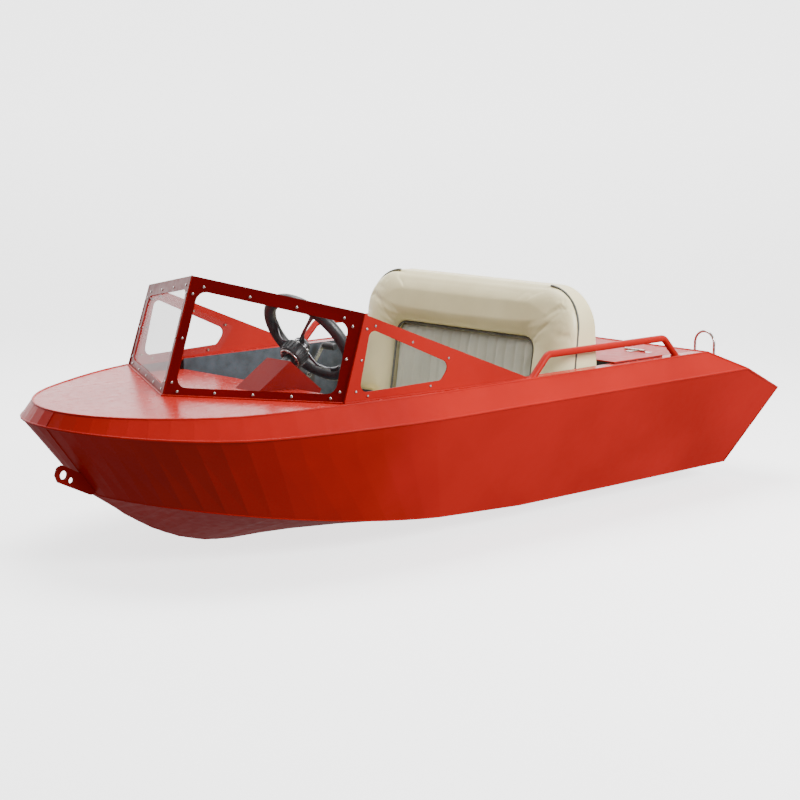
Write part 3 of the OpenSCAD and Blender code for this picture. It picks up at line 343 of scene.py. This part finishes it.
# ---------- carried-over pieces ----------
LOOK = {"red_paint": red, "charcoal_lining": charcoal, "clear_acrylic": acrylic,
        "stainless": steel, "black_plastic": black, "grey_metal": gunmetal,
        "cream_vinyl": cream, "rubber_seal": rubber, "cast_alloy": cast, "bronze": bronze}
SLOT = {s["node"]: s["material_slot"] for s in frame["record"]["subparts"]}
for name, o in NODES.items():
    o.data.materials.clear()
    look = LOOK[SLOT[name]]
    # decks and dash take the lighter red: painted sheen, with dust
    if name in ("foredeck", "side_deck_port", "side_deck_starboard", "dash_panel"):
        look = dusty_red_with_painted_sheen
    # windscreen frames and helm console take the darker red: painted shade
    if name.startswith("screen_frame") or name == "helm_console":
        look = red_painted_shade
    if name == "engine_block":
        look = engine_grey
    o.data.materials.append(look)
    smooth(o, 28)


# ---------- hull seams: rounded welds along the plate edges ----------
BOW_START = 1.75                         # the hull's sides begin to close in here
DECK_DIP = 0.015                         # the deck edge falls this much at the bow
RUB_DROP, RUB_LIFT = 0.075, 0.029        # rubbing edge below the deck, and its rise
CHINE_LOW, CHINE_LIFT = 0.065, 0.17      # chine at the stern, and its rise
# each plate edge: half its width, its bow tip, how full the bow is, its aft end
EDGES = {"deck": (0.613, 2.955, 2.45, 0.45), "rub": (0.665, 2.988, 2.45, 0.2625),
         "chine": (0.4925, 2.8, 1.8, 0.16)}


def ramp(t):
    t = min(1.0, max(0.0, t))
    return t * t * (3 - 2 * t)


def deck_z(angle):
    return DECK - DECK_DIP * ramp((angle - 15) / 30)


def round_bow(half, tip, full, angle):
    r = math.radians(angle)
    return BOW_START + (tip - BOW_START) * math.sin(r) ** (2 / full), half * math.cos(r)


def plate_edge(kind, side):
    """Points along one edge of the hull plates, straight aft and round at the bow."""
    half, tip, full, aft = EDGES[kind]
    points = []
    for x, angle in [(aft, 0), (0.9, 0), (1.35, 0)] + [(None, a) for a in range(0, 91, 5)]:
        y = half
        if x is None:
            x, y = round_bow(half, tip, full, angle)
        if kind == "deck":
            z = deck_z(angle)
        elif kind == "rub":
            z = deck_z(angle) - RUB_DROP + RUB_LIFT * math.sin(math.radians(angle)) ** 3
        else:
            z = CHINE_LOW + CHINE_LIFT * max(0.0, (x - 1.2) / 1.6) ** 2
        points.append(hull(x, y * side, z))
    return points


for kind, radius, sink in (("deck", 0.0042, 0.0028), ("rub", 0.0045, 0.003),
                           ("chine", 0.004, 0.0028)):
    both = plate_edge(kind, 1) + plate_edge(kind, -1)[::-1][1:]
    inward = []
    for p in both:
        c = Vector((min(p.x, 0.6), 0, 0.3))
        inward.append(p + (c - p).normalized() * sink)
    bead(f"seam_{kind}", inward, radius, red)
stern = [hull(0.45, 0.613, 0.535), hull(0.2625, 0.665, 0.46), hull(0.0, 0.6175, 0.355),
         hull(0.16, 0.4925, 0.065), hull(0.196, 0, 0.0045)]
stern = stern + [Vector((p.x, -p.y, p.z)) for p in stern[::-1][1:]]
stern = [p + (Vector((STERN + 0.6, 0, 0.35)) - p).normalized() * 0.002 for p in stern]
bead("seam_stern", stern, 0.0042, red)
bead("seam_stern_tip", [hull(0.001, 0.617, 0.355), hull(0.001, -0.617, 0.355)], 0.004, red)
bead("seam_deck_aft", [hull(0.45, 0.612, 0.534), hull(0.45, -0.612, 0.534)], 0.0042, red)
bead("seam_stem", [hull(2.798, 0, 0.236), hull(2.986, 0, 0.473), hull(2.954, 0, 0.519)],
     0.0042, red)
keel = []
for i in range(25):
    x = 0.2 + 2.6 * i / 24
    z = 0.025 * max(0.0, (x - 1.5) / 1.3) ** 2 + 0.21 * max(0.0, (x - 2.25) / 0.55) ** 2
    keel.append(hull(x, 0, z + 0.0035))
bead("seam_keel", keel, 0.0042, red)

# windscreen foot flange, welded to the deck
corner, centre = hull(2.2515, 0.557, 0.5365), hull(2.534, 0, 0.5255)
for side, tag in ((1, "port"), (-1, "starboard")):
    c = Vector((corner.x, corner.y * side, corner.z))
    bead(f"screen_foot_{tag}", [centre + Vector((0.003, 0, 0)), c + Vector((0.003, 0, 0))],
         0.0036, red)
    bead(f"side_foot_{tag}", [c + Vector((0, 0.002 * side, 0)),
                              hull(1.43, 0.604 * side, 0.5365)], 0.0032, red)
    # the corner posts and the centre post take the darker red: painted shade
    bead(f"corner_post_{tag}", [c + Vector((0.001, 0.001 * side, 0)),
                                hull(2.1592, 0.553 * side, 0.8125)], 0.0028, red_painted_shade)
bead("centre_post", [centre, hull(2.408, 0, 0.9065)], 0.0028, red_painted_shade)

# weld collars where the grab rails meet the deck
for side, tag in ((1, "port"), (-1, "starboard")):
    for x, lean in ((0.6165, 1), (1.4035, -1)):
        clear()
        bpy.ops.mesh.primitive_torus_add(
            major_radius=0.0135, minor_radius=0.004, major_segments=40, minor_segments=12,
            location=hull(x, 0.592 * side, 0.5362))
        o = named(f"rail_weld_{tag}_{'aft' if lean > 0 else 'fore'}")
        only(o)
        bpy.ops.object.mode_set(mode="EDIT")
        bpy.ops.mesh.select_all(action="SELECT")
        bpy.ops.transform.resize(value=(1.35, 1, 0.8),
                                 center_override=hull(x, 0.592 * side, 0.5362))
        bpy.ops.object.mode_set(mode="OBJECT")
        smooth(o)
        dress(o, red)


# ---------- seat ----------
FILL_FRAMES = 20


def inflate(o, held, limit):
    """Fills a cover with air; what is held stays put and nothing moves past the limit."""
    rest = coords(o).copy()
    only(o)
    group = o.vertex_groups.new(name="held")
    group.add([int(i) for i in np.nonzero(held(rest))[0]], 1.0, "REPLACE")
    m = o.modifiers.new("Cloth", "CLOTH")
    s = m.settings
    s.quality = 4
    s.mass = 0.3
    s.tension_stiffness = 25
    s.compression_stiffness = 25
    s.shear_stiffness = 8
    s.bending_stiffness = 0.4
    s.use_pressure = True
    s.uniform_pressure_force = 4.0
    s.vertex_group_mass = "held"
    s.effector_weights.gravity = 0.0
    m.collision_settings.use_collision = False
    m.point_cache.frame_start = 1
    m.point_cache.frame_end = FILL_FRAMES
    scene = bpy.context.scene
    for f in range(1, FILL_FRAMES + 1):
        scene.frame_set(f)
        bpy.context.view_layer.update()
    only(o)
    bpy.ops.object.modifier_apply(modifier=m.name)
    scene.frame_set(1)
    now = coords(o)
    step = now - rest
    far = np.linalg.norm(step, axis=1, keepdims=True)
    put_coords(o, rest + step * np.minimum(1.0, limit / np.maximum(far, 1e-9)))


def cover(o, voxel=0.006):
    """One even skin over the shaped block."""
    apply(o, "REMESH", mode="VOXEL", voxel_size=voxel)
    apply(o, "SMOOTH", factor=0.5, iterations=4)
    return o


BACK_X = STERN + 0.957                   # rear face of the backrest before it leans
BACK_DEEP = 0.2                          # its depth, front to rear
BACK_FOOT, BACK_TALL = 0.338, 0.474      # its lowest point and its height
REAR_LEAN, FRONT_LEAN = (0.0, 0.045), (0.052, -0.04)      # shifts at foot and top
OUTLINE = (0.378, 0.661, 0.15)           # corner's middle across and up, its radius
PANEL = (0.307, 0.577, 0.045)            # the same for the sunk panel
CHANNEL_PITCH, CHANNEL_DEEP = 0.0465, 0.004


def leaning(z, deep):
    """How far forward a point shifts, by its height and its depth from the rear face."""
    t, u = (z - BACK_FOOT) / BACK_TALL, deep / BACK_DEEP
    rear = REAR_LEAN[0] + (REAR_LEAN[1] - REAR_LEAN[0]) * t
    front = FRONT_LEAN[0] + (FRONT_LEAN[1] - FRONT_LEAN[0]) * t
    return rear + (front - rear) * u


def lean(o):
    """Leans a squarely made piece of the backrest."""
    co = coords(o)
    co[:, 0] += leaning(co[:, 2], co[:, 0] - BACK_X)
    put_coords(o, co)


def rounded_off(o, inside, r, face, way):
    """Rounds the edge between a flat face and an outline to radius r."""
    co = coords(o)
    deep = np.maximum((face - co[:, 0]) * way, 0)
    d = np.maximum(inside(co), 0)
    h = np.hypot(r - deep, r - d)
    k = r / np.maximum(h, 1e-9)
    step = np.array([[0, 1e-4, 0], [0, 0, 1e-4]])
    inward = np.stack([(inside(co + e) - inside(co - e)) / 2e-4 for e in step], 1)
    zone = ((deep < r) & (d < r) & (h > r))[:, None]
    new = co.copy()
    new[:, 0] = face - way * (r - (r - deep) * k)
    new[:, 1:] += inward * (r - (r - d) * k - d)[:, None]
    put_coords(o, np.where(zone, new, co))


def to_outline(co):
    """How far inside the backrest's outline a point lies."""
    across, up, radius = OUTLINE
    qy, qz = np.abs(co[:, 1]) - across, co[:, 2] - up
    top = radius - np.hypot(np.maximum(qy, 0), np.maximum(qz, 0)) - np.minimum(
        np.maximum(qy, qz), 0)
    return np.minimum(top, co[:, 2] - 0.34 + 0.012)


def to_panel(co):
    """How far outside the sunk panel's outline a point lies."""
    across, up, radius = PANEL
    qy, qz = np.abs(co[:, 1]) - across, co[:, 2] - up
    return np.hypot(np.maximum(qy, 0), np.maximum(qz, 0)) - radius


bolster = block("backrest_bolster", (BACK_X, -0.528, 0.34),
                (BACK_X + BACK_DEEP, 0.528, 0.811))
bevel(bolster, lambda c, d: abs(d.x) > 0.8 and c.z > 0.7, OUTLINE[2], 10)
bevel(bolster, lambda c, d: abs(d.x) > 0.8 and c.z < 0.4, 0.03, 4)
hollow = block("backrest_hollow", (BACK_X + 0.1, -0.352, 0.25),
               (BACK_X + 0.5, 0.352, 0.622))
bevel(hollow, lambda c, d: abs(d.x) > 0.8 and c.z > 0.6, 0.045, 6)
carve(bolster, hollow)
cover(bolster)
rounded_off(bolster, to_outline, 0.058, BACK_X + BACK_DEEP, 1)
rounded_off(bolster, to_outline, 0.025, BACK_X, -1)
rounded_off(bolster, to_panel, 0.05, BACK_X + BACK_DEEP, 1)
cover(bolster)
inflate(bolster, lambda v: (v[:, 0] < BACK_X + 0.132) | (to_panel(v) < 0.012),
        limit=0.009)
co = coords(bolster)
# gathers and the mitred seam that fan out of the upper inner corners
for side in (1, -1):
    dy, dz = co[:, 1] * side - 0.318, co[:, 2] - 0.585
    r = np.hypot(dy, dz)
    fan = np.arctan2(dz, dy)
    near = np.exp(-((r - 0.062) / 0.03) ** 2) * np.exp(-((fan - 0.8) / 0.75) ** 2)
    near *= co[:, 0] > BACK_X + 0.1
    co[:, 0] -= 0.0024 * near * (0.5 + 0.5 * np.sin(fan * 34 + 3 * np.sin(fan * 7)))
    off = (dz - dy * 0.9) / 1.345
    along = (r > 0.05) * (dy > 0) * (dz > 0) * (co[:, 0] > BACK_X + 0.12)
    co[:, 0] -= 0.0022 * along * np.exp(-(off / 0.0045) ** 2)
put_coords(bolster, co)
lean(bolster)
smooth(bolster)
dress(bolster, cream)
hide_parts("seat_backrest")

panel = block("backrest_panel", (BACK_X + 0.03, -0.351, 0.342),
              (BACK_X + 0.158, 0.351, 0.618))
bevel(panel, lambda c, d: abs(d.x) > 0.8 and c.z > 0.6, 0.042, 6)
bevel(panel, lambda c, d: abs(d.x) < 0.1 and c.x > BACK_X + 0.15, 0.012, 3)
cover(panel, 0.005)
inflate(panel, lambda v: v[:, 0] < BACK_X + 0.08, limit=0.004)


def channels(o, axis, front):
    """Sewn channels: a soft valley at each seam across the face."""
    co = coords(o)
    t = (co[:, 1] / CHANNEL_PITCH + 0.5) % 1.0 - 0.5
    valley = np.exp(-(np.abs(np.abs(t) - 0.5) / 0.09) ** 1.3) + 0.3 * (2 * t) ** 2
    co[:, axis] -= CHANNEL_DEEP * valley * front(co)
    put_coords(o, co)


channels(panel, 0, lambda v: (v[:, 0] > BACK_X + 0.1) * 1.0)
lean(panel)
smooth(panel)
dress(panel, grey)


def pipe(name, points):
    return bead(name, points, 0.0042, piping)


def arc(across, up, radius, start, end, steps=8):
    """Points of a round corner, across and up, with its angles in degrees."""
    angles = [math.radians(start + (end - start) * i / steps) for i in range(steps + 1)]
    return [(across + radius * math.cos(a), up + radius * math.sin(a)) for a in angles]


def face_x(z, deep):
    """Where a face at this depth ends up once the backrest leans."""
    return BACK_X + deep + leaning(z, deep)


inner = [(-0.349, 0.345)] + arc(-PANEL[0], PANEL[1], 0.042, 180, 90)
inner += [(-y, z) for y, z in inner[::-1]]
pipe("panel_piping", [Vector((face_x(z, 0.166), y, z)) for y, z in inner])
for side, tag in ((1, "port"), (-1, "starboard")):
    edge = [(0.528, 0.36), (0.528, 0.45), (0.528, 0.56)] + arc(*OUTLINE, 4, 88, 14)
    pts = [Vector((face_x(z, 0.137), (y + 0.0005) * side, z)) for y, z in edge]
    pipe(f"end_piping_{tag}", pts)

cushion = block("seat_cushion_cover", (STERN + 1.17, -0.5, 0.2265),
                (STERN + 1.6, 0.5, 0.322))
bevel(cushion, lambda c, d: abs(d.z) > 0.8, 0.05, 5)
bevel(cushion, lambda c, d: abs(d.z) < 0.5 and c.z > 0.3, 0.03, 4)
well = block("cushion_well", (STERN + 1.1, -0.35, 0.29), (STERN + 1.5, 0.35, 0.4))
bevel(well, lambda c, d: abs(d.z) > 0.8 and c.x > STERN + 1.3, 0.03, 4)
carve(cushion, well)
cover(cushion)
inflate(cushion, lambda v: v[:, 2] < 0.25, limit=0.01)
smooth(cushion)
dress(cushion, cream)
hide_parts("seat_cushion")
insert = block("cushion_insert", (STERN + 1.172, -0.349, 0.25),
               (STERN + 1.498, 0.349, 0.312))
bevel(insert, lambda c, d: abs(d.z) > 0.8 and c.x > STERN + 1.3, 0.028, 4)
bevel(insert, lambda c, d: abs(d.z) < 0.5 and c.z > 0.3, 0.01, 3)
cover(insert, 0.005)
inflate(insert, lambda v: v[:, 2] < 0.275, limit=0.006)
channels(insert, 2, lambda v: (v[:, 2] > 0.295) * 1.0)
smooth(insert)
dress(insert, grey)
pipe("insert_piping", [hull(1.18, -0.349, 0.316), hull(1.47, -0.349, 0.316),
                       hull(1.497, -0.325, 0.316), hull(1.499, 0.325, 0.316),
                       hull(1.47, 0.349, 0.316), hull(1.18, 0.349, 0.316)])

# ---------- helm details ----------
tilt = math.radians(36)       # of the column
to_driver = Vector((-math.cos(tilt), 0, math.sin(tilt)))
rim_centre = hull(1.899, 0, 0.658)
plane_up = Vector((math.sin(tilt), 0, math.cos(tilt)))


def wheel_point(radial, angle, height, across=0.0):
    """A point of the wheel: out along a spoke, towards the driver and sideways."""
    d = plane_up * math.cos(angle) + Vector((0, 1, 0)) * math.sin(angle)
    return rim_centre + d * radial + to_driver * height + d.cross(to_driver) * across


def strap(name, rows, thick, material, body):
    """A flat bar drawn out row by row, then given its thickness and soft edges."""
    clear()
    bpy.ops.mesh.primitive_plane_add(size=1)
    o = named(name)
    pick(o, lambda c, d: c.x > 0.4 and abs(d.y) > 0.9, "EDGE")
    for _ in rows[2:]:
        bpy.ops.mesh.extrude_edges_move(TRANSFORM_OT_translate={"value": (1, 0, 0)})
    bpy.ops.object.mode_set(mode="OBJECT")
    co = coords(o)
    for i, (x, y, _z) in enumerate(co.copy()):
        left, far = rows[int(round(x + 0.5))]
        co[i] = left if y < 0 else far
    put_coords(o, co)
    apply(o, "SOLIDIFY", thickness=thick, offset=0.0)
    apply(o, "BEVEL", width=thick * 0.3, segments=3, limit_method="ANGLE")
    smooth(o, 40)
    return dress(o, material, body)


for k in range(3):
    a = math.radians(40 + 120 * k)
    profile = [(0.02, -0.046, 0.022), (0.05, -0.0475, 0.019), (0.085, -0.0475, 0.012),
               (0.112, -0.032, 0.010), (0.132, -0.014, 0.013), (0.1475, -0.003, 0.02)]
    rows = [(wheel_point(r, a, h, -w / 2), wheel_point(r, a, h, w / 2))
            for r, h, w in profile]
    strap(f"spoke_{k}", rows, 0.004, gunmetal, "steering_wheel")
    o = tube(f"spoke_bolt_{k}", wheel_point(0.022, a, -0.0425), to_driver, 0.0045, 0.006,
             24)
    bevel(o, lambda c, e: (c - rim_centre).dot(to_driver) > -0.0415, 0.0015, 3)
    smooth(o, 40)
    dress(o, steel, "steering_wheel")
    pts = [wheel_point(0.1475, a + math.radians(-11 + 22 * i / 8), 0.001) for i in range(9)]
    bead(f"spoke_pad_{k}", pts, 0.008, black, "steering_wheel")
hub = tube("hub_plate", rim_centre - to_driver * 0.047, to_driver, 0.032, 0.009, 64)
bevel(hub, lambda c, e: abs(e.dot(to_driver)) < 0.1, 0.002, 3)
smooth(hub, 40)
dress(hub, gunmetal, "steering_wheel")
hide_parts("wheel_spokes")

# helm drum under the hub: a ribbed case on a narrow neck, with bright rings and bolts
DRUM = -0.084                 # its middle, along the column from the rim's middle
FACETS = 60                   # flats around it; every third one stands out as a rib
drum = tube("helm_drum", wheel_point(0, 0, DRUM), to_driver, 0.045, 0.05, FACETS)
bevel(drum, lambda c, e: abs(e.dot(to_driver)) < 0.1, 0.007, 4)


def rib(c, n):
    out = c - wheel_point(0, 0, DRUM)
    across = math.atan2(out.y, out.dot(plane_up))
    flat = int((across + math.pi) / (2 * math.pi / FACETS))
    return abs(n.dot(to_driver)) < 0.1 and flat % 3 == 0


pick(drum, rib, "FACE")
bpy.ops.mesh.extrude_region_shrink_fatten(
    TRANSFORM_OT_shrink_fatten={"value": 0.004})
bpy.ops.mesh.select_all(action="SELECT")
bpy.ops.mesh.normals_make_consistent(inside=False)
bpy.ops.object.mode_set(mode="OBJECT")
apply(drum, "BEVEL", width=0.0008, segments=2, limit_method="ANGLE")
smooth(drum, 35)
dress(drum, black)
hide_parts("column_bearing")
neck = tube("column_neck", wheel_point(0, 0, -0.15), to_driver, 0.019, 0.09, 48)
bevel(neck, lambda c, e: abs(e.dot(to_driver)) < 0.1, 0.003, 3)
smooth(neck, 40)
dress(neck, black)
for k, (h, r, t) in enumerate(((DRUM - 0.026, 0.036, 0.0035), (DRUM + 0.026, 0.037, 0.002),
                               (-0.185, 0.021, 0.0035))):
    ring = [wheel_point(r, 2 * math.pi * i / 48, h) for i in range(48)]
    bead(f"drum_ring_{k}", ring, t, steel, "hull", closed=True)
for k in range(5):
    a = 2 * math.pi * (k + 0.3) / 5
    for tag, r, h in (("low", 0.031, DRUM - 0.0275), ("high", 0.0405, DRUM + 0.026)):
        o = tube(f"drum_bolt_{tag}_{k}", wheel_point(r, a, h), to_driver, 0.0042, 0.007, 24)
        bevel(o, lambda c, e: abs(e.dot(to_driver)) < 0.1, 0.0012, 2)
        smooth(o, 40)
        dress(o, steel)
stitches = [wheel_point(0.1487, 2 * math.pi * i / 64, 0) for i in range(64)]
bead("rim_stitching", stitches, 0.0011, piping, "steering_wheel",
     closed=True)

# ---------- floor, light, camera ----------
SWEEP_TURN = math.radians(45.5)          # the sweep faces the camera
GLOW_FROM, GLOW_TO, GLOW = 2.2, 2.8, 1.2      # heights over which the wall brightens
floor_look = new_material("Pale sweep", (0.88, 0.88, 0.88), 0.6, spec=0.1)
drive(floor_look, tint(floor_look, noise(floor_look, 1.5, 3.0), (0.87, 0.87, 0.87),
                       (0.89, 0.89, 0.89)), "Base Color")
shader = floor_look.node_tree.nodes["Principled BSDF"]
shader.inputs["Emission Color"].default_value = (1, 1, 1, 1)
height = node(floor_look, "ShaderNodeSeparateXYZ")
link(floor_look, place(floor_look), height.inputs["Vector"])
drive(floor_look, remap(floor_look, height.outputs["Z"], GLOW_FROM, GLOW_TO, 0.0, GLOW),
      "Emission Strength")
clear()
bpy.ops.mesh.primitive_plane_add(size=24, location=(7.5, 0, 0))
sweep = named("sweep")
pick(sweep, lambda c, d: c.x < 0 and abs(d.y) > 0.9, "EDGE")
bpy.ops.mesh.extrude_edges_move(TRANSFORM_OT_translate={"value": (-3, 0, 0)})
bpy.ops.mesh.extrude_edges_move(TRANSFORM_OT_translate={"value": (0, 0, 9)})
bpy.ops.object.mode_set(mode="OBJECT")
bevel(sweep, lambda c, d: abs(c.z) < 0.1 and c.x < -7 and abs(d.y) > 0.9, 2.9, 24)
only(sweep)
bpy.ops.object.mode_set(mode="EDIT")
bpy.ops.mesh.select_all(action="SELECT")
bpy.ops.mesh.normals_make_consistent(inside=False)
bpy.ops.object.mode_set(mode="OBJECT")
spin = Matrix.Rotation(SWEEP_TURN, 3, "Z")
put_coords(sweep, coords(sweep) @ np.array(spin).T)
smooth(sweep)
sweep.data.materials.append(floor_look)
ahead = Vector((math.cos(SWEEP_TURN), math.sin(SWEEP_TURN), 0))
pick(sweep, lambda c, n: c.dot(ahead) < -4.5, "FACE")
bpy.ops.mesh.separate(type="SELECTED")
bpy.ops.object.mode_set(mode="OBJECT")
wall = [o for o in bpy.context.selected_objects if o is not sweep][0]
for o in (sweep, wall):
    o.visible_diffuse = False     # it stays pale without lighting the hull from below
sweep.visible_glossy = False

world = bpy.data.worlds.new("Studio")
bpy.context.scene.world = world
world.use_nodes = True
world.node_tree.nodes["Background"].inputs["Color"].default_value = (1, 1, 1, 1)
world.node_tree.nodes["Background"].inputs["Strength"].default_value = 0.36


def lamp(name, at, aim, size, power):
    clear()
    bpy.ops.object.light_add(type="AREA", location=at)
    o = bpy.context.object
    o.name = name
    o.data.shape = "RECTANGLE"
    o.data.size, o.data.size_y = size
    o.data.energy = power
    o.rotation_euler = (Vector(aim) - Vector(at)).to_track_quat("-Z", "Y").to_euler()
    return o


lamp("key", (-1.5, 5.6, 2.9), (-0.2, 0.3, 0.4), (2.6, 2.0), 640)
lamp("top", (-0.2, -0.9, 4.8), (-0.3, 0, 0.5), (4.0, 3.0), 380)

# the camera's turn, height angle, tip, aim and distance
az, el, roll = math.radians(45.51), math.radians(9.426), math.radians(0.4)
DISTANCE = 7.557
back = Vector((math.cos(az) * math.cos(el), math.sin(az) * math.cos(el), math.sin(el)))
target = Vector((1.237 + STERN, -0.225, 0.338))
right = (-back).cross(Vector((0, 0, 1))).normalized()
up = right.cross(-back)
tipped_right = right * math.cos(roll) + up * math.sin(roll)
tipped_up = -right * math.sin(roll) + up * math.cos(roll)
clear()
bpy.ops.object.camera_add(location=target + back * DISTANCE)
cam = bpy.context.object
cam.name = "camera"
cam.data.lens = 90
cam.data.sensor_width = 36
cam.rotation_mode = "QUATERNION"
camera_axes = Matrix((tipped_right, tipped_up, back)).transposed()
cam.rotation_quaternion = camera_axes.to_quaternion()
bpy.context.scene.camera = cam
